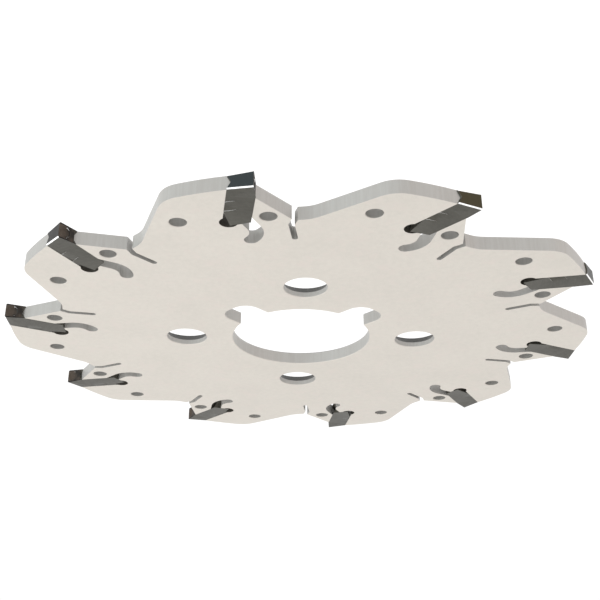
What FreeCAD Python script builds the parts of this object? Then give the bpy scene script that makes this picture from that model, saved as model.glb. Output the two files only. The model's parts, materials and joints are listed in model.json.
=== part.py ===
import FreeCAD, Part
import math
import os
import re
import Sketcher

# Indexable slotting cutter: one steel disc whose ten pockets each grip a carbide insert with an
# elastic jaw cut from the same steel. Millimetres, +Z up. The origin is on the bore axis at half the
# disc's thickness. Insert 01's cutting edge and one keyway point along +Y; the other keyway is on +X.
# Seen from +Z the inserts are numbered clockwise and their cutting edges face clockwise.

sizes = {
    # whole cutter
    "cutting_radius": 80.0,        # axis to the cutting edges
    "land_radius": 79.2,           # axis to the steel behind each insert
    "disc_thickness": 3.4,
    "insert_count": 10,
    # hub
    "bore_radius": 19.05,
    "keyway_width": 10.3,
    "keyway_reach": 26.4,          # axis to the keyway's floor
    "keyway_corner": 4.0,
    "keyway_count": 2,
    "keyway_spacing": 90.0,        # degrees from one keyway to the next
    "drive_circle_radius": 31.75,
    "drive_hole_count": 4,
    "drive_hole_turn": 45.0,       # degrees from the keyway on +Y to the first drive hole
    "drive_hole_radius": 5.5,
    "drive_sink_radius": 7.15,     # countersink on the face away from the spindle
    "drive_sink_depth": 2.0,
    # insert pocket, measured along and across the way the insert slides
    "pocket_lean": 15.0,           # degrees forward of the radius through the cutting edge
    "pocket_height": 6.3,          # seat to jaw
    "rail_depth": 0.8,             # V rails on the seat and the jaw
    "rail_half": 1.45,
    "rail_end": 12.35,             # cutting edge to the rails' inner ends
    "stop_depth": 17.45,           # cutting edge to the stop shoulder's deep end
    "stop_offset": 1.5,
    "stop_slope": 24.7,
    "stop_run": 4.4,
    "heel_shoulder": 1.5,          # rails' inner ends to the heel space's corner on the jaw side
    "relief_depth": 15.9,
    "relief_offset": 1.4,
    "relief_radius": 2.1,
    # curved slot that starts at the pocket's inner end
    "crescent_x": -7.47,
    "crescent_y": 61.2,
    "crescent_radius": 4.93,
    "crescent_width": 3.3,
    "crescent_lean": 18.5,
    "crescent_sweep": 69.3,
    "crescent_straight": 4.5,
    # gullet in front of each jaw
    "jaw_tip_x": -0.13,
    "jaw_tip_y": 74.44,
    "jaw_front_lean": 34.2,
    "gullet_floor_y": 64.82,
    "gullet_floor_end": 10.45,
    "back_slope": 26.5,
    "floor_round": 7.5,
    "shoulder_round": 7.0,
    # thin slot that frees the jaw
    "slot_x": 5.6,
    "slot_width": 1.4,
    "slot_end_y": 57.0,
    "slot_knee_y": 63.15,
    "slot_mouth_lean": 25.4,
    "slot_mouth_run": 3.0,
    # holes for the two pins of the insert key
    "key_hole_radius": 2.0,
    "body_key_radius": 69.65,
    "body_key_angle": 15.83,
    "jaw_key_radius": 67.05,
    "jaw_key_angle": 0.92,
    # small bevel round the rims of the bore, the keyways, the drive holes and the key holes
    "rim_break": 0.15,
    # insert
    "insert_width": 4.0,           # over the cutting edge
    "shank_width": 3.4,
    "shank_start": 5.0,            # cutting edge to the end of the side faces' taper
    "insert_height": 5.4,          # seat side to the cutting edge
    "slide_gap": 0.03,             # between the insert and its pocket
    "end_relief": 6.5,
    "rake_length": 4.85,
    "rake_rise": 0.94,
    "head_step": 0.1,
    "seat_end": 11.75,             # cutting edge to where the seat side starts to taper
    "heel_depth": 17.2,
    "heel_offset": 1.85,
    "stop_gap": 0.05,
    "corner_break": 0.25,          # bevel between the end face and each side face
    "facet_lean": 22.5,            # degrees, the side facets' steps from square across the insert
    "head_facet_end": 7.5,         # cutting edge to the step, along the seat
    "head_facet_seat": 1.72,       # half width at the seat, level with the cutting edge
    "head_facet_rise": 2.7,        # degrees, from the seat towards the jaw
    "head_facet_fall": 1.1,        # degrees, inwards
    "mid_facet_end": 11.3,
    "mid_facet_seat": 1.7,
    "mid_facet_rise": 1.7,
    "mid_facet_fall": 1.8,
    "former_from_edge": 1.7,       # chip former hollow in the rake face
    "former_length": 1.4,          # half of its length
    "former_half_width": 1.4,
    "former_depth": 0.35,
    "jaw_groove_start": 4.25,      # cutting edge to the jaw-side groove
    # how far a cutting shape stands clear of the steel, and runs into the cut beside it
    "cut_clear": 1.0,
    "cut_lap": 0.5,
    "gullet_reach": 28.0,          # length of the gullet's back line, past the rim
    "jaw_front_reach": 3.0,
    "gullet_top": 9.0,
}

leastCut = 1e-4      # cubic millimetres that a cut has to remove
near = 0.02          # millimetres within which two positions count as one

doc = FreeCAD.newDocument("slotting_cutter")
sheet = doc.addObject("Spreadsheet::Sheet", "Sizes")
for row, (alias, value) in enumerate(sizes.items(), start=1):
    sheet.set("A%d" % row, alias)
    sheet.set("B%d" % row, str(value))
    sheet.setAlias("B%d" % row, alias)
doc.recompute()


def sized(text):
    # An expression in the sheet's aliases: every alias gets the sheet's name before it.
    def named(word):
        return "Sizes." + word.group() if word.group() in sizes else word.group()
    return re.sub("[a-z_]+", named, text)


def turned(function, text):
    # Sine, cosine or tangent of an expression in degrees.
    return function + "((" + text + ") * 1deg)"


def originPlane(body, role):
    return next(plane for plane in body.Origin.OriginFeatures if plane.Role == role)


def newSketch(body, name, role="XY_Plane"):
    sketch = body.newObject("Sketcher::SketchObject", name)
    sketch.AttachmentSupport = (originPlane(body, role), [""])
    sketch.MapMode = "FlatFace"
    return sketch


def shiftSketch(sketch, base, axis, angle):
    # Moves the sketch by three expressions and turns it about an axis by a fourth.
    sketch.AttachmentOffset = FreeCAD.Placement(FreeCAD.Vector(), FreeCAD.Rotation(axis, 1.0))
    for letter, text in zip("xyz", base):
        sketch.setExpression(".AttachmentOffset.Base." + letter, sized(text))
    sketch.setExpression(".AttachmentOffset.Rotation.Angle", sized(angle))


def bind(sketch, constraint, name, text):
    # Adds a driving constraint whose value is an expression.
    index = sketch.addConstraint(constraint)
    sketch.renameConstraint(index, name)
    sketch.setExpression("Constraints." + name, sized(text))


def valueOf(text):
    return float(sheet.evalExpression(sized(text)))


def drawOutline(sketch, corners):
    # A closed outline of straight lines, with every corner bound to two expressions.
    places = [FreeCAD.Vector(valueOf(x), valueOf(y), 0) for x, y in corners]
    count = len(corners)
    for index in range(count):
        sketch.addGeometry(Part.LineSegment(places[index], places[(index + 1) % count]), False)
    for index in range(count):
        sketch.addConstraint(Sketcher.Constraint("Coincident", index, 2, (index + 1) % count, 1))
    for index, (x, y) in enumerate(corners):
        place = places[index]
        bind(sketch, Sketcher.Constraint("DistanceX", -1, 1, index, 1, place.x), "x%d" % index, x)
        bind(sketch, Sketcher.Constraint("DistanceY", -1, 1, index, 1, place.y), "y%d" % index, y)


def drawCircle(sketch, x, y, radius):
    centre = FreeCAD.Vector(valueOf(x), valueOf(y), 0)
    normal = FreeCAD.Vector(0, 0, 1)
    index = sketch.addGeometry(Part.Circle(centre, normal, valueOf(radius)), False)
    bind(sketch, Sketcher.Constraint("DistanceX", -1, 1, index, 3, centre.x), "x%d" % index, x)
    bind(sketch, Sketcher.Constraint("DistanceY", -1, 1, index, 3, centre.y), "y%d" % index, y)
    bind(sketch, Sketcher.Constraint("Radius", index, valueOf(radius)), "radius%d" % index, radius)


def addPad(body, sketch, name, length):
    pad = body.newObject("PartDesign::Pad", name)
    pad.Profile = sketch
    pad.SideType = "Symmetric"
    pad.setExpression("Length", sized(length))
    doc.recompute()
    return pad


def settleCut(body, cut, before):
    # A cut that misses the solid shows no error, so the volume has to go down.
    doc.recompute()
    if not body.Shape.Volume < before - leastCut:
        raise RuntimeError(cut.Name + " removes nothing")
    return cut


def cutThrough(body, sketch, name):
    before = body.Shape.Volume
    pocket = body.newObject("PartDesign::Pocket", name)
    pocket.Profile = sketch
    pocket.Type = "ThroughAll"
    pocket.SideType = "Symmetric"
    return settleCut(body, pocket, before)


def cutDeep(body, sketch, name, length, reverse):
    before = body.Shape.Volume
    pocket = body.newObject("PartDesign::Pocket", name)
    pocket.Profile = sketch
    pocket.Reversed = reverse
    pocket.setExpression("Length", sized(length))
    return settleCut(body, pocket, before)


def repeatAround(body, originals, name, count, angle="360"):
    # Copies cuts round the +Z axis.
    before = body.Shape.Volume
    pattern = body.newObject("PartDesign::PolarPattern", name)
    pattern.Originals = originals
    pattern.Axis = (originPlane(body, "Z_Axis"), [""])
    pattern.setExpression("Angle", sized(angle))
    pattern.setExpression("Occurrences", sized(count))
    body.Tip = pattern
    return settleCut(body, pattern, before)


def edgesWhere(body, test):
    shape = body.Tip.Shape
    return ["Edge%d" % (index + 1) for index, edge in enumerate(shape.Edges) if test(edge)]


def dressEdges(body, kind, name, names, sizeProperty, size):
    base = body.Tip
    dressing = body.newObject("PartDesign::" + kind, name)
    dressing.Base = (base, names)
    dressing.setExpression(sizeProperty, sized(size))
    doc.recompute()
    return dressing


# The pocket's own frame lies on the seat line opposite the cutting edge: its first direction goes from
# the seat to the jaw, and its second outwards along the way the insert slides.
pocketX = "-insert_height * " + turned("cos", "pocket_lean")
pocketY = "cutting_radius + insert_height * " + turned("sin", "pocket_lean")
zUp = FreeCAD.Vector(0, 0, 1)
clockwise = FreeCAD.Vector(0, 0, -1)


def pocketSketch(body, name):
    # Flat sketch in the pocket's frame: x from the seat to the jaw, y outwards.
    sketch = newSketch(body, name)
    shiftSketch(sketch, (pocketX, pocketY, "0"), clockwise, "pocket_lean")
    return sketch


def acrossSketch(body, name, extraLean="0", inward="0"):
    # Sketch across the pocket: x from the seat to the jaw, y along the cutter's axis. Its plane stands
    # at the cutting edge, or further in, and extraLean turns it from square across the pocket.
    sketch = newSketch(body, name, "XZ_Plane")
    x = "( " + pocketX + " ) - ( " + inward + " ) * " + turned("sin", "pocket_lean")
    y = "( " + pocketY + " ) - ( " + inward + " ) * " + turned("cos", "pocket_lean")
    shiftSketch(sketch, (x, "0", "-( " + y + " )"), FreeCAD.Vector(0, -1, 0),
                "pocket_lean - ( " + extraLean + " )")
    return sketch


def fromAxis(point):
    return math.hypot(point.x, point.y)


def isUpright(edge):
    ends = [vertex.Point for vertex in edge.Vertexes]
    return len(ends) == 2 and math.hypot(ends[0].x - ends[1].x, ends[0].y - ends[1].y) < near


def cutHub(body):
    bore = newSketch(body, "bore_circle")
    drawCircle(bore, "0", "0", "bore_radius")
    cutThrough(body, bore, "bore")

    keyway = newSketch(body, "keyway_outline")
    drawOutline(keyway, [
        ("-keyway_width / 2", "bore_radius / 2"),
        ("keyway_width / 2", "bore_radius / 2"),
        ("keyway_width / 2", "keyway_reach"),
        ("-keyway_width / 2", "keyway_reach"),
    ])
    keyCut = cutThrough(body, keyway, "keyway")
    # the second keyway lies clockwise of the first
    pattern = repeatAround(body, [keyCut], "both_keyways", "keyway_count", "keyway_spacing")
    pattern.Reversed = True
    doc.recompute()
    reach = valueOf("keyway_reach")
    halfWidth = valueOf("keyway_width") / 2
    cornerDistance = math.hypot(reach, halfWidth)

    def atKeywayCorner(edge):
        return isUpright(edge) and abs(fromAxis(edge.Vertexes[0].Point) - cornerDistance) < near
    dressEdges(body, "Fillet", "keyway_corners", edgesWhere(body, atKeywayCorner), "Radius", "keyway_corner")

    # drive hole with its countersink, revolved about its own axis
    hole = newSketch(body, "drive_hole_profile", "XZ_Plane")
    holeX = "drive_circle_radius * " + turned("sin", "drive_hole_turn")
    holeY = "drive_circle_radius * " + turned("cos", "drive_hole_turn")
    shiftSketch(hole, (holeX, "0", "-" + holeY), FreeCAD.Vector(0, -1, 0), "0")
    drawOutline(hole, [
        ("0", "-disc_thickness / 2 - cut_clear"),
        ("drive_sink_radius + (drive_sink_radius - drive_hole_radius) * cut_clear / drive_sink_depth",
         "-disc_thickness / 2 - cut_clear"),
        ("drive_hole_radius", "-disc_thickness / 2 + drive_sink_depth"),
        ("drive_hole_radius", "disc_thickness / 2 + cut_clear"),
        ("0", "disc_thickness / 2 + cut_clear"),
    ])
    before = body.Shape.Volume
    drive = body.newObject("PartDesign::Groove", "drive_hole")
    drive.Profile = hole
    drive.ReferenceAxis = (hole, ["V_Axis"])
    settleCut(body, drive, before)
    repeatAround(body, [drive], "all_drive_holes", "drive_hole_count")


def cutTooth(body):
    cuts = []

    gullet = newSketch(body, "gullet_outline")
    frontX = "jaw_tip_x - jaw_front_reach * " + turned("sin", "jaw_front_lean")
    frontY = "jaw_tip_y + jaw_front_reach * " + turned("cos", "jaw_front_lean")
    drawOutline(gullet, [
        ("jaw_tip_x + (jaw_tip_y - gullet_floor_y) * " + turned("tan", "jaw_front_lean"), "gullet_floor_y"),
        ("gullet_floor_end", "gullet_floor_y"),
        ("gullet_floor_end + gullet_reach * " + turned("cos", "back_slope"),
         "gullet_floor_y + gullet_reach * " + turned("sin", "back_slope")),
        (frontX + " + gullet_top * " + turned("sin", "pocket_lean"),
         frontY + " + gullet_top * " + turned("cos", "pocket_lean")),
        (frontX, frontY),
    ])
    cuts.append(cutThrough(body, gullet, "gullet"))

    # pocket between the V rails, cut inwards along the insert's slide
    rails = acrossSketch(body, "rail_profile")
    drawOutline(rails, [
        ("0", "-disc_thickness / 2 - cut_clear"),
        ("pocket_height", "-disc_thickness / 2 - cut_clear"),
        ("pocket_height", "-rail_half"),
        ("pocket_height - rail_depth", "0"),
        ("pocket_height", "rail_half"),
        ("pocket_height", "disc_thickness / 2 + cut_clear"),
        ("0", "disc_thickness / 2 + cut_clear"),
        ("0", "rail_half"),
        ("rail_depth", "0"),
        ("0", "-rail_half"),
    ])
    cuts.append(cutDeep(body, rails, "rail_pocket", "rail_end + cut_lap", True))

    heel = pocketSketch(body, "heel_outline")
    drawOutline(heel, [
        ("0", "-rail_end"),
        ("0", "-relief_depth + cut_lap"),
        ("stop_offset", "-stop_depth"),
        ("stop_offset + stop_run * " + turned("cos", "stop_slope"),
         "-stop_depth + stop_run * " + turned("sin", "stop_slope")),
        ("pocket_height", "-rail_end - heel_shoulder"),
        ("pocket_height", "-rail_end"),
    ])
    cuts.append(cutThrough(body, heel, "heel_space"))

    relief = pocketSketch(body, "relief_circle")
    drawCircle(relief, "relief_offset", "-relief_depth", "relief_radius")
    cuts.append(cutThrough(body, relief, "heel_relief"))

    crescent = newSketch(body, "crescent_outline")
    shiftSketch(crescent, ("crescent_x", "crescent_y", "0"), zUp, "crescent_lean")
    drawCrescent(crescent)
    cuts.append(cutThrough(body, crescent, "crescent_slot"))

    slot = newSketch(body, "thin_slot_outline")
    leftX = "slot_x - slot_width / 2"
    mouthX = leftX + " + slot_mouth_run * " + turned("sin", "slot_mouth_lean")
    mouthY = "slot_knee_y + slot_mouth_run * " + turned("cos", "slot_mouth_lean")
    drawOutline(slot, [
        (leftX, "slot_end_y"),
        ("slot_x + slot_width / 2", "slot_end_y"),
        ("slot_x + slot_width / 2", "slot_knee_y - slot_width * " + turned("tan", "slot_mouth_lean / 2")),
        (mouthX + " + slot_width * " + turned("cos", "slot_mouth_lean"),
         mouthY + " - slot_width * " + turned("sin", "slot_mouth_lean")),
        (mouthX, mouthY),
        (leftX, "slot_knee_y"),
    ])
    cuts.append(cutThrough(body, slot, "thin_slot"))

    slotEnd = newSketch(body, "thin_slot_end")
    drawCircle(slotEnd, "slot_x", "slot_end_y", "slot_width / 2")
    cuts.append(cutThrough(body, slotEnd, "thin_slot_round"))

    keyHoles = newSketch(body, "key_hole_circles")
    drawCircle(keyHoles, "-body_key_radius * " + turned("sin", "body_key_angle"),
               "body_key_radius * " + turned("cos", "body_key_angle"), "key_hole_radius")
    drawCircle(keyHoles, "jaw_key_radius * " + turned("sin", "jaw_key_angle"),
               "jaw_key_radius * " + turned("cos", "jaw_key_angle"), "key_hole_radius")
    cuts.append(cutThrough(body, keyHoles, "key_holes"))

    repeatAround(body, cuts, "all_teeth", "insert_count")


def drawCrescent(sketch):
    # A slot of even width: straight, then round an arc, with a round end. x is the slot's radius.
    outer = valueOf("crescent_radius + crescent_width / 2")
    inner = valueOf("crescent_radius - crescent_width / 2")
    straight = valueOf("crescent_straight")
    sweep = math.radians(valueOf("crescent_sweep"))
    endX = valueOf("crescent_radius * " + turned("cos", "crescent_sweep"))
    endY = -valueOf("crescent_radius * " + turned("sin", "crescent_sweep"))
    half = valueOf("crescent_width / 2")
    origin = FreeCAD.Vector()
    wallTop = FreeCAD.Vector(outer, straight, 0)
    innerTop = FreeCAD.Vector(inner, straight, 0)
    outerArc = sketch.addGeometry(Part.ArcOfCircle(Part.Circle(origin, zUp, outer), -sweep, 0), False)
    innerArc = sketch.addGeometry(Part.ArcOfCircle(Part.Circle(origin, zUp, inner), -sweep, 0), False)
    endCircle = Part.Circle(FreeCAD.Vector(endX, endY, 0), zUp, half)
    endArc = sketch.addGeometry(Part.ArcOfCircle(endCircle, math.pi - sweep, 2 * math.pi - sweep), False)
    outerLine = sketch.addGeometry(Part.LineSegment(FreeCAD.Vector(outer, 0, 0), wallTop), False)
    topLine = sketch.addGeometry(Part.LineSegment(wallTop, innerTop), False)
    innerLine = sketch.addGeometry(Part.LineSegment(innerTop, FreeCAD.Vector(inner, 0, 0)), False)
    joins = [("Coincident", outerArc, 2, outerLine, 1), ("Coincident", outerLine, 2, topLine, 1),
             ("Coincident", topLine, 2, innerLine, 1), ("Coincident", innerLine, 2, innerArc, 2),
             ("Tangent", innerArc, 1, endArc, 1), ("Tangent", endArc, 2, outerArc, 1)]
    for join in joins:
        sketch.addConstraint(Sketcher.Constraint(*join))
    for arc in (outerArc, innerArc):
        sketch.addConstraint(Sketcher.Constraint("Coincident", arc, 3, -1, 1))
        sketch.addConstraint(Sketcher.Constraint("PointOnObject", arc, 2, -1))
    for line in (outerLine, innerLine):
        sketch.addConstraint(Sketcher.Constraint("Vertical", line))
    sketch.addConstraint(Sketcher.Constraint("Horizontal", topLine))
    bind(sketch, Sketcher.Constraint("Radius", outerArc, outer), "outer",
         "crescent_radius + crescent_width / 2")
    bind(sketch, Sketcher.Constraint("Radius", innerArc, inner), "inner",
         "crescent_radius - crescent_width / 2")
    bind(sketch, Sketcher.Constraint("DistanceY", -1, 1, topLine, 1, straight), "straight",
         "crescent_straight")
    bind(sketch, Sketcher.Constraint("DistanceY", -1, 1, endArc, 3, endY), "endY",
         "-crescent_radius * " + turned("sin", "crescent_sweep"))


def roundTeeth(body):
    # Rounds the upright edges at the back of each gullet's floor and at each tooth's shoulder.
    pitch = 2 * math.pi / valueOf("insert_count")
    shoulderSpan = (0.1, 0.5)      # radians clockwise from a cutting edge, clear of the pocket's corners

    def uprightAt(radius):
        def test(edge):
            if not isUpright(edge):
                return False
            point = edge.Vertexes[0].Point
            fromEdge = math.atan2(point.x, point.y) % pitch
            atRadius = abs(fromAxis(point) - radius) < near
            return atRadius and shoulderSpan[0] < fromEdge < shoulderSpan[1]
        return test
    floorDistance = math.hypot(valueOf("gullet_floor_end"), valueOf("gullet_floor_y"))
    dressEdges(body, "Fillet", "gullet_floor_rounds", edgesWhere(body, uprightAt(floorDistance)),
               "Radius", "floor_round")
    dressEdges(body, "Fillet", "tooth_shoulders", edgesWhere(body, uprightAt(valueOf("land_radius"))),
               "Radius", "shoulder_round")


def breakRims(body):
    # Bevels the rims of the bore, keyways, drive holes and key holes; the countersinks have no bevel.
    half = valueOf("disc_thickness") / 2
    hubReach = valueOf("drive_circle_radius + drive_hole_radius + cut_lap")
    keyRadius = valueOf("key_hole_radius")
    sinkRadius = valueOf("drive_sink_radius")
    samples = 5      # points looked at along each edge

    def isRim(edge):
        box = edge.BoundBox
        if box.ZMax - box.ZMin > near or abs(abs(box.ZMax) - half) > near:
            return False
        if edge.Curve.TypeId == "Part::GeomCircle":
            if abs(edge.Curve.Radius - keyRadius) < near:
                return True
            if abs(edge.Curve.Radius - sinkRadius) < near:
                return False
        return max(fromAxis(point) for point in edge.discretize(samples)) < hubReach
    dressEdges(body, "Chamfer", "rim_bevels", edgesWhere(body, isRim), "Size", "rim_break")


def buildCutterBody():
    body = doc.addObject("PartDesign::Body", "cutter_body")
    body.Label = "cutter_body"
    disc = newSketch(body, "disc_circle")
    drawCircle(disc, "0", "0", "land_radius")
    addPad(body, disc, "disc", "disc_thickness")
    cutHub(body)
    cutTooth(body)
    roundTeeth(body)
    breakRims(body)
    return body


def cutFacet(body, name, facet, start):
    # Cuts one facet from both side faces. Its wedge is drawn on a plane turned from square across the
    # insert and swept inwards along it, narrowing as it goes, so the facet ends in a turned step.
    lean = math.radians(valueOf("pocket_lean"))
    fall = math.tan(math.radians(valueOf(facet + "_fall")))
    slope = "(" + turned("tan", facet + "_rise") + " + " + turned("tan", facet + "_fall") \
        + " * " + turned("tan", "facet_lean") + ")"
    seat = facet + "_seat"
    across = "insert_height + rake_rise + cut_clear"
    # the turned plane stretches what lies across the insert
    left = "-cut_clear / " + turned("cos", "facet_lean")
    right = "(" + across + ") / " + turned("cos", "facet_lean")
    places = [
        (left, seat + " - cut_clear * " + slope),
        (right, seat + " + (" + across + ") * " + slope),
        (right, "insert_width / 2 + cut_clear"),
        (left, "insert_width / 2 + cut_clear"),
    ]
    for side, sign, down in (("upper", "", -fall), ("lower", "-", fall)):
        wedge = acrossSketch(body, "%s_%s_%s_profile" % (name, facet, side), "facet_lean", start)
        drawOutline(wedge, [(x, sign + "( " + z + " )") for x, z in places])
        before = body.Shape.Volume
        pocket = body.newObject("PartDesign::Pocket", "%s_%s_%s" % (name, facet, side))
        pocket.Profile = wedge
        pocket.UseCustomVector = True
        pocket.Direction = FreeCAD.Vector(-math.sin(lean), -math.cos(lean), down)
        pocket.AlongSketchNormal = False
        pocket.setExpression("Length", sized(facet + "_end - " + start))
        settleCut(body, pocket, before)


def taperSides(body, name):
    # Side clearance: the width shrinks from the cutting edge to the shank.
    for side, sign in (("upper", ""), ("lower", "-")):
        taper = newSketch(body, "%s_taper_%s_profile" % (name, side), "YZ_Plane")
        shiftSketch(taper, (pocketY, "0", pocketX), FreeCAD.Vector(0, -1, 0), "pocket_lean")
        places = [
            ("cut_clear", "insert_width / 2"),
            ("0", "insert_width / 2"),
            ("-shank_start", "shank_width / 2"),
            ("-stop_depth - cut_clear", "shank_width / 2"),
            ("-stop_depth - cut_clear", "insert_width / 2 + cut_clear"),
            ("cut_clear", "insert_width / 2 + cut_clear"),
        ]
        drawOutline(taper, [(x, sign + "( " + z + " )") for x, z in places])
        cutThrough(body, taper, "%s_taper_%s" % (name, side))
    cutFacet(body, name, "head_facet", "0")
    cutFacet(body, name, "mid_facet", "head_facet_end")


def buildInsert(number):
    name = "insert_%02d" % number
    body = doc.addObject("PartDesign::Body", name)
    body.Label = name

    # side view: cutting edge at the outer jaw-side corner, slanted inner end against the stop
    outline = pocketSketch(body, name + "_outline")
    jawSide = "pocket_height - slide_gap"
    drawOutline(outline, [
        ("slide_gap", "-insert_height * " + turned("tan", "pocket_lean + end_relief")),
        ("insert_height", "0"),
        ("insert_height + rake_rise", "-rake_length"),
        (jawSide, "-rake_length - head_step"),
        (jawSide, "-stop_depth + stop_gap + (pocket_height - stop_offset) * " + turned("tan", "stop_slope")),
        ("heel_offset", "-heel_depth"),
        ("slide_gap", "-seat_end"),
    ])
    addPad(body, outline, name + "_blank", "insert_width")
    taperSides(body, name)

    # V grooves that ride on the pocket's rails
    seatGroove = acrossSketch(body, name + "_seat_groove_profile")
    drawOutline(seatGroove, [
        ("-rail_depth", "-rail_half * 2 - slide_gap * 2"),
        ("rail_depth + slide_gap * 2", "0"),
        ("-rail_depth", "rail_half * 2 + slide_gap * 2"),
    ])
    cutDeep(body, seatGroove, name + "_seat_groove", "stop_depth + cut_clear", True)
    jawGroove = acrossSketch(body, name + "_jaw_groove_profile", "0", "jaw_groove_start")
    drawOutline(jawGroove, [
        ("pocket_height + rail_depth", "-rail_half * 2 - slide_gap * 2"),
        ("pocket_height + rail_depth", "rail_half * 2 + slide_gap * 2"),
        ("pocket_height - rail_depth - slide_gap * 2", "0"),
    ])
    cutDeep(body, jawGroove, name + "_jaw_groove", "stop_depth", True)

    # bevels between the end face and the side faces
    endY = valueOf("cutting_radius - cut_clear")

    def isEndCorner(edge):
        ends = [vertex.Point for vertex in edge.Vertexes]
        atEnd = min(point.y for point in ends) > endY
        onOneSide = ends[0].z * ends[-1].z > valueOf("rail_half ^ 2")
        return atEnd and onOneSide and edge.Length > valueOf("insert_height / 2")
    corners = edgesWhere(body, isEndCorner)
    if len(corners) != 2:
        raise RuntimeError("%s has %d end corners" % (name, len(corners)))
    dressEdges(body, "Chamfer", name + "_corner_bevels", corners, "Size", "corner_break")

    # chip former: a shallow round-ended hollow, in line with the rake face and centred on it
    before = body.Shape.Volume
    former = body.newObject("PartDesign::SubtractiveEllipsoid", name + "_chip_former")
    former.AttachmentSupport = (originPlane(body, "XY_Plane"), [""])
    former.MapMode = "FlatFace"
    rakeX = "(insert_height + rake_rise * former_from_edge / rake_length)"
    shiftSketch(former, (
        pocketX + " + " + rakeX + " * " + turned("cos", "pocket_lean")
        + " - former_from_edge * " + turned("sin", "pocket_lean"),
        pocketY + " - " + rakeX + " * " + turned("sin", "pocket_lean")
        + " - former_from_edge * " + turned("cos", "pocket_lean"), "0"),
        clockwise, "pocket_lean * 1deg - atan(rake_rise / rake_length)")
    former.setExpression("Radius1", sized("former_half_width"))
    former.setExpression("Radius2", sized("former_depth"))
    former.setExpression("Radius3", sized("former_length"))
    settleCut(body, former, before)

    body.Placement = FreeCAD.Placement(FreeCAD.Vector(), FreeCAD.Rotation(clockwise, 1.0))
    body.setExpression(".Placement.Rotation.Angle", sized("%d * 360 / insert_count" % (number - 1)))
    doc.recompute()
    return body


cutterBody = buildCutterBody()
inserts = [buildInsert(number) for number in range(1, int(sizes["insert_count"]) + 1)]

for item in doc.Objects:
    if "Invalid" in item.State or "Error" in item.State:
        raise RuntimeError("failed object: " + item.Name)

os.makedirs("parts", exist_ok=True)
for body in [cutterBody] + inserts:
    shape = body.Shape
    if shape.isNull() or not shape.isValid() or len(shape.Solids) != 1:
        raise RuntimeError("bad shape: " + body.Label)
    shape.exportStep("parts/" + body.Label + ".step")
    print("%s %.1f mm3" % (body.Label, shape.Volume))
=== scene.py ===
import json
import math

import bmesh
import bpy
import numpy as np
from mathutils import Matrix, Vector


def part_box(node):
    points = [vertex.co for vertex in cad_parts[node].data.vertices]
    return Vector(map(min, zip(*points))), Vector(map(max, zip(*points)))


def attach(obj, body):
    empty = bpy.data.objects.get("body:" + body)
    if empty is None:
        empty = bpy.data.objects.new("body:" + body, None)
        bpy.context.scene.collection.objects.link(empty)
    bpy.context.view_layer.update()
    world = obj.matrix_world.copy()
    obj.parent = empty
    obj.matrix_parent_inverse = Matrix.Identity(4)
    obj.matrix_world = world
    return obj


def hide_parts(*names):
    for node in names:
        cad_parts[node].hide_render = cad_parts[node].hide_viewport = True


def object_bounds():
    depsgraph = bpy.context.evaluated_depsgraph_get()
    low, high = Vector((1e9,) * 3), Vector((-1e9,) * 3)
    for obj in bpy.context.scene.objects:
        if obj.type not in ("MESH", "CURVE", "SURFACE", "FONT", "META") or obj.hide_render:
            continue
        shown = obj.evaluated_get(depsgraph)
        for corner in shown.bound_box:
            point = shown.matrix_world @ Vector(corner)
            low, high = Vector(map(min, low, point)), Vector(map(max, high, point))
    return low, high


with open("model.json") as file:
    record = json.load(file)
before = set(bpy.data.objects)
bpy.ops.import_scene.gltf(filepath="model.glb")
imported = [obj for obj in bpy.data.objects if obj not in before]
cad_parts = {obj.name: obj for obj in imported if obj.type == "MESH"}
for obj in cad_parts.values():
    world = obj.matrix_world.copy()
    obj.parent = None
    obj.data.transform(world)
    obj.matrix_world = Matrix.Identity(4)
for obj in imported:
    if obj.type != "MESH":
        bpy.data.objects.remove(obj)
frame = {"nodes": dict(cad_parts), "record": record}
cadLow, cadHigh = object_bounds()
print("frame loaded")

# camera: where it stands round the disc, and how it is turned
cameraView = {
    "azimuth": 46.98,       # degrees from +X, anticlockwise
    "elevation": 25.49,
    "roll": 180.12,         # the near rim is at the top
    "distance": 0.2698,     # metres to the middle of the upper face
    "aside": 0.00033,       # how far the upper face's middle lies off the view's axis
    "below": 0.01064,
    "lens": 58.01,          # millimetres, on a sensor 36 wide
    "sensor": 36,
    "nearest": 0.01,        # metres
    "farthest": 20,
}

studio = {
    "floorDrop": 0.17,      # metres from the disc down to the floor
    "floorReach": 3.0,
    "floorColour": (0.93, 0.93, 0.93, 1),
    "worldColour": (1.0, 1.0, 1.0, 1),
    "worldStrength": 1.1,
}

# panels: azimuth and elevation in degrees, distance and size in metres, power in watts
panels = {
    "keyPanel": {"azimuth": 46.98, "elevation": 66, "distance": 0.8, "size": 0.55, "power": 0.8,
                 "colour": (1, 1, 1)},
    "topPanel": {"azimuth": 0, "elevation": 90, "distance": 0.8, "size": 0.9, "power": 0.3,
                 "colour": (1, 1, 1)},
    "sidePanel": {"azimuth": 125, "elevation": 32, "distance": 0.48, "size": 0.3, "power": 0.62,
                  "colour": (1, 0.99, 0.97)},
    "warmPanel": {"azimuth": 345, "elevation": 3, "distance": 0.7, "size": 0.4, "power": 0.5,
                  "colour": (1, 0.60, 0.42)},
    "coolPanel": {"azimuth": 98, "elevation": 3, "distance": 0.7, "size": 0.4, "power": 0.75,
                  "colour": (0.78, 0.96, 1)},
}


def directionOf(place):
    # unit vector at an azimuth and an elevation: (cos a cos e, sin a cos e, sin e)
    turn = math.radians(place["azimuth"])
    lift = math.radians(place["elevation"])
    return Vector((math.cos(turn) * math.cos(lift), math.sin(turn) * math.cos(lift), math.sin(lift)))


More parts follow.
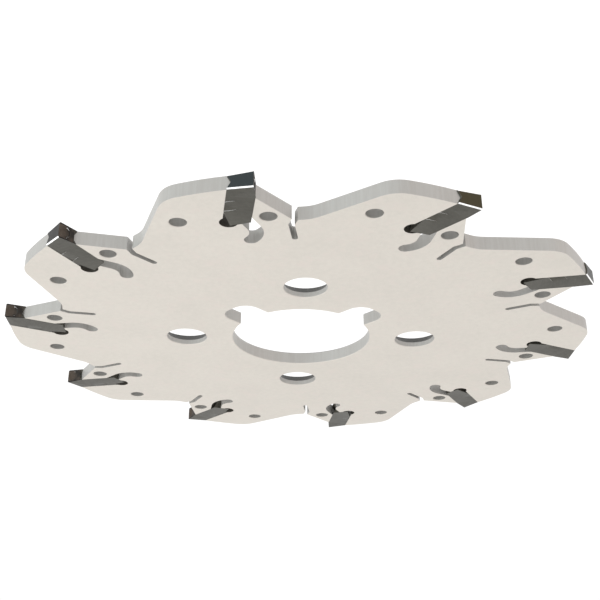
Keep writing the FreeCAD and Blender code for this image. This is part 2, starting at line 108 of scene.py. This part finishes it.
def makeCamera():
    # back is the unit vector from the disc to the camera; roll turns right and down about it
    back = directionOf(cameraView)
    level = (-back).cross(Vector((0, 0, 1))).normalized()
    down = (-back).cross(level)
    roll = math.radians(cameraView["roll"])
    right = level * math.cos(roll) + down * math.sin(roll)
    below = down * math.cos(roll) - level * math.sin(roll)
    centre = Vector((0, 0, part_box("cutter_body")[1].z))
    place = centre + back * cameraView["distance"]
    place = place - right * cameraView["aside"] - below * cameraView["below"]
    data = bpy.data.cameras.new("viewCamera")
    data.lens = cameraView["lens"]
    data.sensor_width = cameraView["sensor"]
    data.clip_start = cameraView["nearest"]
    data.clip_end = cameraView["farthest"]
    camera = bpy.data.objects.new("viewCamera", data)
    axes = Matrix((right, -below, back)).transposed().to_4x4()
    camera.matrix_world = Matrix.Translation(place) @ axes
    bpy.context.collection.objects.link(camera)
    bpy.context.scene.camera = camera
    print("camera placed")


makeCamera()


def makePanel(name, panel):
    # a round panel on a sphere round the disc, facing its middle
    towards = directionOf(panel)
    data = bpy.data.lights.new(name, "AREA")
    data.shape = "DISK"
    data.size = panel["size"]
    data.energy = panel["power"]
    data.color = panel["colour"]
    light = bpy.data.objects.new(name, data)
    light.location = towards * panel["distance"]
    light.rotation_euler = (-towards).to_track_quat("-Z", "Y").to_euler()
    bpy.context.collection.objects.link(light)


def makeStudio():
    scene = bpy.context.scene
    scene.view_settings.view_transform = "Standard"
    world = bpy.data.worlds.new("softRoom")
    world.use_nodes = True
    background = world.node_tree.nodes["Background"]
    background.inputs["Color"].default_value = studio["worldColour"]
    background.inputs["Strength"].default_value = studio["worldStrength"]
    scene.world = world

    # floor: a square grid at one height
    reach = studio["floorReach"]
    height = cadLow.z - studio["floorDrop"]
    mesh = bpy.data.meshes.new("paleFloor")
    mesh.from_pydata([(-reach, -reach, height), (reach, -reach, height), (reach, reach, height),
                      (-reach, reach, height)], [], [(0, 1, 2, 3)])
    floor = bpy.data.objects.new("paleFloor", mesh)
    bpy.context.collection.objects.link(floor)
    paper = bpy.data.materials.new("palePaper")
    paper.use_nodes = True
    coat = paper.node_tree.nodes["Principled BSDF"]
    coat.inputs["Base Color"].default_value = studio["floorColour"]
    coat.inputs["Roughness"].default_value = 1.0
    coat.inputs["Specular IOR Level"].default_value = 0.0
    mesh.materials.append(paper)

    for name, panel in panels.items():
        makePanel(name, panel)
    print("studio lit")


makeStudio()


# shader parts shared by the finishes

class Shader:
    # a node tree with short calls for adding nodes and joining sockets

    def __init__(self, tree):
        self.tree = tree

    def add(self, kind, **settings):
        node = self.tree.nodes.new(kind)
        for name, value in settings.items():
            setattr(node, name, value)
        return node

    def join(self, source, target):
        self.tree.links.new(source, target)

    def maths(self, operation, first, second=None):
        node = self.add("ShaderNodeMath", operation=operation)
        for socket, value in zip(node.inputs, (first, second)):
            if isinstance(value, bpy.types.NodeSocket):
                self.join(value, socket)
            elif value is not None:
                socket.default_value = value
        return node.outputs[0]

    def ramp(self, source, low, high, outLow=0.0, outHigh=1.0):
        node = self.add("ShaderNodeMapRange", interpolation_type="SMOOTHSTEP")
        self.join(source, node.inputs["Value"])
        for name, value in (("From Min", low), ("From Max", high), ("To Min", outLow), ("To Max", outHigh)):
            node.inputs[name].default_value = value
        return node.outputs["Result"]

    def blend(self, factor, first, second):
        node = self.add("ShaderNodeMix", data_type="RGBA")
        for socket, value in zip((node.inputs[0], node.inputs[6], node.inputs[7]), (factor, first, second)):
            if isinstance(value, bpy.types.NodeSocket):
                self.join(value, socket)
            else:
                socket.default_value = value
        return node.outputs[2]

    def noise(self, vector, scale, detail=2.0, rough=0.5):
        node = self.add("ShaderNodeTexNoise")
        node.inputs["Scale"].default_value = scale
        node.inputs["Detail"].default_value = detail
        node.inputs["Roughness"].default_value = rough
        self.join(vector, node.inputs["Vector"])
        return node.outputs["Fac"]


def newGroup(name, inputs, outputs):
    tree = bpy.data.node_groups.new(name, "ShaderNodeTree")
    for label, kind, value in inputs:
        socket = tree.interface.new_socket(label, in_out="INPUT", socket_type=kind)
        if value is not None:
            socket.default_value = value
    for label, kind in outputs:
        tree.interface.new_socket(label, in_out="OUTPUT", socket_type=kind)
    shader = Shader(tree)
    return shader, shader.add("NodeGroupInput"), shader.add("NodeGroupOutput")


grainLook = {
    # noise: scale per metre, detail, roughness
    "fine": (5200, 3, 0.6),
    "middle": (750, 3, 0.55),
    "broad": (62, 2, 0.5),
    "tint": (330, 2, 0.5),
    "fineShare": 0.5,       # shares of the tone
    "middleShare": 0.3,
    "broadShare": 0.2,
}


def makeSatinGrain():
    # Tone = fine, middle and broad noise added in their shares. Height = fine noise. Tint = slow noise.
    shader, entry, leave = newGroup(
        "satinGrain",
        [("Place", "NodeSocketVector", None), ("Stretch", "NodeSocketVector", (1, 1, 1))],
        [("Tone", "NodeSocketFloat"), ("Height", "NodeSocketFloat"), ("Tint", "NodeSocketFloat")])
    scaled = shader.add("ShaderNodeVectorMath", operation="MULTIPLY")
    shader.join(entry.outputs["Place"], scaled.inputs[0])
    shader.join(entry.outputs["Stretch"], scaled.inputs[1])
    place = scaled.outputs[0]
    fine = shader.noise(place, *grainLook["fine"])
    middle = shader.noise(place, *grainLook["middle"])
    broad = shader.noise(place, *grainLook["broad"])
    tint = shader.noise(place, *grainLook["tint"])
    tone = shader.maths("ADD", shader.maths("MULTIPLY", fine, grainLook["fineShare"]),
                        shader.maths("MULTIPLY", middle, grainLook["middleShare"]))
    tone = shader.maths("ADD", tone, shader.maths("MULTIPLY", broad, grainLook["broadShare"]))
    shader.join(tone, leave.inputs["Tone"])
    shader.join(fine, leave.inputs["Height"])
    shader.join(tint, leave.inputs["Tint"])
    return shader.tree


wearLook = {
    "samples": 4,
    "turned": (0.01, 0.16),       # one minus the cosine of the turn, from no wear to full wear
    "noise": (1300, 3),           # scale per metre, detail
    "noiseRange": (0.32, 0.62),
    "least": 0.35,                # what the noise leaves of the wear
}


def makeEdgeWear():
    # Mask = how far the rounded normal turns from the plain one, times noise: 0 on flats, up to 1 on edges.
    shader, entry, leave = newGroup(
        "edgeWear",
        [("Place", "NodeSocketVector", None), ("Reach", "NodeSocketFloat", 0.0002)],
        [("Mask", "NodeSocketFloat")])
    rounded = shader.add("ShaderNodeBevel", samples=wearLook["samples"])
    shader.join(entry.outputs["Reach"], rounded.inputs["Radius"])
    plain = shader.add("ShaderNodeNewGeometry")
    dot = shader.add("ShaderNodeVectorMath", operation="DOT_PRODUCT")
    shader.join(rounded.outputs["Normal"], dot.inputs[0])
    shader.join(plain.outputs["Normal"], dot.inputs[1])
    turned = shader.maths("SUBTRACT", 1.0, dot.outputs["Value"])
    edge = shader.ramp(turned, *wearLook["turned"])
    patches = shader.noise(entry.outputs["Place"], *wearLook["noise"])
    broken = shader.ramp(patches, *wearLook["noiseRange"], wearLook["least"], 1.0)
    shader.join(shader.maths("MULTIPLY", edge, broken), leave.inputs["Mask"])
    return shader.tree


satinGrain = makeSatinGrain()
edgeWear = makeEdgeWear()


def newFinish(name):
    material = bpy.data.materials.new(name)
    material.use_nodes = True
    return material, Shader(material.node_tree), material.node_tree.nodes["Principled BSDF"]


def placeGroup(shader, group, place, **values):
    node = shader.add("ShaderNodeGroup", node_tree=group)
    shader.join(place, node.inputs["Place"])
    for name, value in values.items():
        node.inputs[name].default_value = value
    return node


def bumpFrom(shader, height, distance, strength):
    bump = shader.add("ShaderNodeBump")
    bump.inputs["Distance"].default_value = distance
    bump.inputs["Strength"].default_value = strength
    shader.join(height, bump.inputs["Height"])
    return bump.outputs["Normal"]


discFinish = {
    "facePale": (0.560, 0.527, 0.478, 1),
    "faceDeep": (0.498, 0.470, 0.426, 1),
    "tintPink": (0.555, 0.500, 0.460, 1),
    "wallPale": (0.364, 0.358, 0.342, 1),
    "wallDeep": (0.334, 0.325, 0.307, 1),
    "keyHolePaintedShade": (0.190, 0.185, 0.172, 1),
    "heelPaintedShade": (0.060, 0.055, 0.046, 1),
    "leanPaintedShade": (0.045, 0.045, 0.042, 1),
    "edgePale": (0.600, 0.580, 0.545, 1),
    "metallic": 0.25,
    "faceRough": 0.52,
    "wallRough": 0.38,
    "toneRough": 0.12,        # how much the grain adds to the roughness
    "grainDepth": 0.00001,
    "grainStrength": 0.35,
    "grainRange": (0.34, 0.66),
    "pinkRange": (0.48, 0.75),
    "pinkMost": 0.5,
    "bandStretch": (0.35, 0.35, 0.02),    # draws the walls' grain out along the bore axis
    "bandRange": (0.38, 0.62),
    "wallTurn": (0.25, 0.8),              # upright part of the normal, from wall to face
    "leanTurn": (-0.85, -0.75, -0.5, -0.4),   # the same, signed: both sides of a countersink's slope
    "wearReach": 0.00014,
    "wearMost": 0.45,
    "keyHoleShadeMost": 0.5,
    "teeth": 10,
    # spots of painted shade, one of each per tooth: metres from the axis, degrees clockwise of the insert's
    # edge, and reach
    "heelShadeSpot": (0.06616, -6.93, 0.0024),
    "bodyKeyShadeSpot": (0.06965, -15.83, 0.0022),
    "jawKeyShadeSpot": (0.06705, 0.92, 0.0022),
    "spotFade": 0.0003,
}


def toothPlace(shader, place):
    # away = distance from the axis; turn = angle clockwise from +Y, made positive
    parts = shader.add("ShaderNodeSeparateXYZ")
    shader.join(place, parts.inputs[0])
    x, y = parts.outputs["X"], parts.outputs["Y"]
    away = shader.maths("SQRT", shader.maths("ADD", shader.maths("MULTIPLY", x, x),
                                             shader.maths("MULTIPLY", y, y)))
    return away, shader.maths("ADD", shader.maths("ARCTAN2", x, y), 2 * math.pi)


def toothSpot(shader, away, turn, spot):
    # 1 within reach of the spot on every tooth: the turn is folded to half a pitch each side of it
    radius, degrees, reach = spot
    pitch = 2 * math.pi / discFinish["teeth"]
    shifted = shader.maths("ADD", turn, pitch / 2 + 2 * math.pi - math.radians(degrees))
    folded = shader.maths("SUBTRACT", shader.maths("MODULO", shifted, pitch), pitch / 2)
    along = shader.maths("MULTIPLY", folded, radius)
    outward = shader.maths("SUBTRACT", away, radius)
    apart = shader.maths("SQRT", shader.maths("ADD", shader.maths("MULTIPLY", along, along),
                                              shader.maths("MULTIPLY", outward, outward)))
    return shader.ramp(apart, reach, reach + discFinish["spotFade"], 1.0, 0.0)


def makeDiscSteel():
    # faces are an even satin; walls a shade darker; painted shade in key holes, darkest in heel reliefs and
    # faces leaning down
    material, shader, skin = newFinish("satinDiscSteel")
    place = shader.add("ShaderNodeTexCoord").outputs["Object"]
    grain = placeGroup(shader, satinGrain, place)
    bands = placeGroup(shader, satinGrain, place, Stretch=discFinish["bandStretch"])
    wear = placeGroup(shader, edgeWear, place, Reach=discFinish["wearReach"])
    face = shader.blend(shader.ramp(grain.outputs["Tone"], *discFinish["grainRange"]),
                        discFinish["faceDeep"], discFinish["facePale"])
    pink = shader.ramp(grain.outputs["Tint"], *discFinish["pinkRange"], 0.0, discFinish["pinkMost"])
    face = shader.blend(pink, face, discFinish["tintPink"])
    wall = shader.blend(shader.ramp(bands.outputs["Tone"], *discFinish["bandRange"]),
                        discFinish["wallDeep"], discFinish["wallPale"])
    away, turn = toothPlace(shader, place)
    # painted shade: the walls of both key holes of every tooth darkened
    for spot in ("bodyKeyShadeSpot", "jawKeyShadeSpot"):
        keyHoleShade = toothSpot(shader, away, turn, discFinish[spot])
        wall = shader.blend(shader.maths("MULTIPLY", keyHoleShade, discFinish["keyHoleShadeMost"]), wall,
                            discFinish["keyHolePaintedShade"])
    # painted shade: the heel relief walls of every tooth made near-black
    wall = shader.blend(toothSpot(shader, away, turn, discFinish["heelShadeSpot"]), wall, discFinish["heelPaintedShade"])
    direction = shader.add("ShaderNodeSeparateXYZ")
    shader.join(shader.add("ShaderNodeNewGeometry").outputs["True Normal"], direction.inputs[0])
    upright = shader.maths("ABSOLUTE", direction.outputs["Z"])
    wallMask = shader.ramp(upright, *discFinish["wallTurn"], 1.0, 0.0)
    colour = shader.blend(wallMask, face, wall)
    # painted shade on faces leaning between wall and lower face: countersink cones, lower bevels, the
    # rails' lower flanks
    faceSide, leanStart, leanEnd, wallSide = discFinish["leanTurn"]
    leanShade = shader.maths("MULTIPLY", shader.ramp(direction.outputs["Z"], faceSide, leanStart),
                           shader.ramp(direction.outputs["Z"], leanEnd, wallSide, 1.0, 0.0))
    colour = shader.blend(leanShade, colour, discFinish["leanPaintedShade"])
    colour = shader.blend(shader.maths("MULTIPLY", wear.outputs["Mask"], discFinish["wearMost"]), colour,
                          discFinish["edgePale"])
    shader.join(colour, skin.inputs["Base Color"])
    plainRough = shader.ramp(wallMask, 0, 1, discFinish["faceRough"], discFinish["wallRough"])
    rough = shader.maths("ADD", plainRough,
                         shader.maths("MULTIPLY", grain.outputs["Tone"], discFinish["toneRough"]))
    shader.join(rough, skin.inputs["Roughness"])
    skin.inputs["Metallic"].default_value = discFinish["metallic"]
    shader.join(bumpFrom(shader, grain.outputs["Height"], discFinish["grainDepth"],
                         discFinish["grainStrength"]), skin.inputs["Normal"])
    return material


insertFinish = {
    "sidePale": (0.078, 0.074, 0.061, 1),
    "sideDeep": (0.050, 0.047, 0.038, 1),
    "endCool": (0.026, 0.033, 0.035, 1),
    "endOlive": (0.046, 0.038, 0.018, 1),
    "endDark": (0.004, 0.003, 0.002, 1),
    "rakeBrown": (0.074, 0.057, 0.044, 1),
    "rakeDeep": (0.018, 0.016, 0.014, 1),
    "rakeRimPaintedShade": (0.004, 0.004, 0.004, 1),
    "wornPale": (0.260, 0.250, 0.230, 1),
    "paintedHighlight": (0.93, 0.93, 0.93, 1),
    # each insert's coat: how warm its end face is, and how dark
    "coatWarmth": (0.7, 0.0, 1.0, 0.3, 0.6, 0.1, 0.9, 0.4, 0.8, 0.2),
    "coatDepth": (1.0, 0.0, 0.1, 0.4, 0.2, 0.5, 0.0, 0.3, 0.6, 0.1),
    "rimShadeStart": 0.00152,   # metres from the insert's middle plane to the painted shade along the rake's rim
    "rimShadeEnd": 0.00176,
    "metallic": 0.55,
    "specular": 0.32,
    "rough": 0.38,
    "rakeRough": 0.6,
    "toneRough": (0.04, -0.03),           # added to the roughness, from the darkest grain to the palest
    "toneRange": (0.3, 0.7),
    "sideRange": (0.38, 0.62),
    "rakeRange": (0.36, 0.64),
    "lineStretch": (0.05, 1.0, 0.3),      # draws the grain out across the insert
    "lineShare": 0.35,
    "grainShare": 0.65,
    "grainDepth": 0.000006,
    "grainStrength": 0.4,
    "wearReach": 0.0001,
    "wearMost": 0.16,
    "honedEdge": 0.00004,                 # metres
    "honedSteps": 2,
    "honedFrom": 18,                      # degrees
}


def makeCarbide():
    # coated dark all over, with fine grinding lines across the insert; bevels and steps carry a painted
    # highlight
    material, shader, skin = newFinish("coatedCarbide")
    place = shader.add("ShaderNodeAttribute", attribute_name="insertPlace").outputs["Vector"]
    lines = placeGroup(shader, satinGrain, place, Stretch=insertFinish["lineStretch"])
    grain = placeGroup(shader, satinGrain, place)
    wear = placeGroup(shader, edgeWear, place, Reach=insertFinish["wearReach"])
    tone = shader.maths("ADD", shader.maths("MULTIPLY", lines.outputs["Tone"], insertFinish["lineShare"]),
                        shader.maths("MULTIPLY", grain.outputs["Tone"], insertFinish["grainShare"]))
    side = shader.blend(shader.ramp(tone, *insertFinish["sideRange"]), insertFinish["sideDeep"],
                        insertFinish["sidePale"])
    coat = shader.add("ShaderNodeSeparateXYZ")
    shader.join(shader.add("ShaderNodeAttribute", attribute_name="insertCoat").outputs["Vector"],
                coat.inputs[0])
    end = shader.blend(coat.outputs["X"], insertFinish["endCool"], insertFinish["endOlive"])
    end = shader.blend(coat.outputs["Y"], end, insertFinish["endDark"])
    rake = shader.blend(shader.ramp(grain.outputs["Tint"], *insertFinish["rakeRange"]),
                        insertFinish["rakeDeep"], insertFinish["rakeBrown"])
    across = shader.add("ShaderNodeSeparateXYZ")
    shader.join(place, across.inputs[0])
    # painted shade: a near-black band along the rake's edges
    rimShade = shader.ramp(shader.maths("ABSOLUTE", across.outputs["Z"]), insertFinish["rimShadeStart"],
                       insertFinish["rimShadeEnd"])
    rake = shader.blend(rimShade, rake, insertFinish["rakeRimPaintedShade"])
    region = shader.add("ShaderNodeSeparateXYZ")
    shader.join(shader.add("ShaderNodeAttribute", attribute_name="insertRegion").outputs["Vector"],
                region.inputs[0])
    colour = shader.blend(region.outputs["X"], side, end)
    colour = shader.blend(region.outputs["Y"], colour, rake)
    colour = shader.blend(shader.maths("MULTIPLY", wear.outputs["Mask"], insertFinish["wearMost"]), colour,
                          insertFinish["wornPale"])
    # painted highlight: near-white colour on the corner bevels and the side facets' steps
    colour = shader.blend(region.outputs["Z"], colour, insertFinish["paintedHighlight"])
    shader.join(colour, skin.inputs["Base Color"])
    skin.inputs["Metallic"].default_value = insertFinish["metallic"]
    skin.inputs["Specular IOR Level"].default_value = insertFinish["specular"]
    darkest, palest = insertFinish["toneRough"]
    rough = shader.ramp(tone, *insertFinish["toneRange"], insertFinish["rough"] + darkest,
                        insertFinish["rough"] + palest)
    rough = shader.maths("ADD", rough, shader.maths("MULTIPLY", region.outputs["Y"],
                                                    insertFinish["rakeRough"] - insertFinish["rough"]))
    shader.join(rough, skin.inputs["Roughness"])
    shader.join(bumpFrom(shader, tone, insertFinish["grainDepth"], insertFinish["grainStrength"]),
                skin.inputs["Normal"])
    return material


discSteel = makeDiscSteel()
carbide = makeCarbide()
print("finishes made")


mending = {
    "sameCorner": 0.000001,   # metres within which two corners are one
    "flatWithin": 0.3,        # degrees between triangles of one flat face
    "sharpFrom": 30,          # degrees above which an edge stays sharp
}


def mergedCopy(node, name):
    # a copy of a CAD node's triangles with shared corners joined, flat faces made whole, and the rest
    # shaded smooth between sharp edges
    work = bmesh.new()
    work.from_mesh(frame["nodes"][node].data)
    bmesh.ops.remove_doubles(work, verts=work.verts, dist=mending["sameCorner"])
    bmesh.ops.dissolve_limit(work, angle_limit=math.radians(mending["flatWithin"]), verts=work.verts,
                             edges=work.edges)
    mesh = bpy.data.meshes.new(name)
    work.to_mesh(mesh)
    work.free()
    mesh.shade_smooth()
    mesh.set_sharp_from_angle(angle=math.radians(mending["sharpFrom"]))
    return mesh


# limits of the regions: parts of the unit normal; the inward ones are metres from the outer end
regionTests = {
    "cornerUp": (0.55, 0.85),
    "cornerOut": 0.35,
    "stepOut": 0.7,
    "stepInward": 0.004,
    "endOut": 0.6,
    "rakeJaw": 0.3,
    "rakeInward": 0.0052,
    "rakeUp": 0.9,
}


def facesOf(mesh, name):
    # one row per face: its normal or its centre
    values = np.empty(len(mesh.polygons) * 3)
    mesh.polygons.foreach_get(name, values)
    return values.reshape(-1, 3)


def addVectors(mesh, name, domain, values):
    # keeps one vector per point or per face for the material to read
    attribute = mesh.attributes.new(name, "FLOAT_VECTOR", domain)
    attribute.data.foreach_set("vector", values.astype(np.float32).ravel())


def makeInsert(joint, warmth, depth):
    # own directions: outward along the slide, jawward across it; place = (jawward, outward, up)
    node = joint["child"]
    outward = np.array(joint["axis"], float)
    jawward = np.array([outward[1], -outward[0], 0.0])
    mesh = mergedCopy(node, node + "_honed")
    count = len(mesh.vertices)
    points = np.empty(count * 3)
    mesh.vertices.foreach_get("co", points)
    points = points.reshape(-1, 3)
    place = np.stack([points @ jawward, points @ outward, points[:, 2]], 1)
    addVectors(mesh, "insertPlace", "POINT", place)

    # region marks each face as end face, rake, or bare ground (corner bevels and the side facets' steps)
    normals = facesOf(mesh, "normal")
    inward = place[:, 1].max() - facesOf(mesh, "center") @ outward
    out, jaw, up = normals @ outward, normals @ jawward, np.abs(normals[:, 2])
    low, high = regionTests["cornerUp"]
    corner = (up > low) & (up < high) & (out > regionTests["cornerOut"])
    step = (out > regionTests["stepOut"]) & (inward > regionTests["stepInward"])
    highlighted = corner | step
    end = (out > regionTests["endOut"]) & ~highlighted
    atRake = (inward < regionTests["rakeInward"]) & (up < regionTests["rakeUp"])
    rake = (jaw > regionTests["rakeJaw"]) & atRake & ~highlighted & ~end
    addVectors(mesh, "insertRegion", "FACE", np.stack([end, rake, highlighted], 1))
    addVectors(mesh, "insertCoat", "POINT", np.tile(np.array([warmth, depth, 0]), (count, 1)))

    piece = bpy.data.objects.new(node + "_honed", mesh)
    bpy.context.collection.objects.link(piece)
    mesh.materials.append(carbide)
    honing = piece.modifiers.new("honedEdges", "BEVEL")
    honing.width = insertFinish["honedEdge"]
    honing.segments = insertFinish["honedSteps"]
    honing.limit_method = "ANGLE"
    honing.angle_limit = math.radians(insertFinish["honedFrom"])
    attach(piece, node)
    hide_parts(node)


for joint, warmth, depth in zip(frame["record"]["behaviour"]["joints"], insertFinish["coatWarmth"],
                                insertFinish["coatDepth"]):
    makeInsert(joint, warmth, depth)
print("inserts made")

disc = frame["nodes"]["cutter_body"]
disc.data.materials.clear()
disc.data.materials.append(discSteel)
print("disc finished")
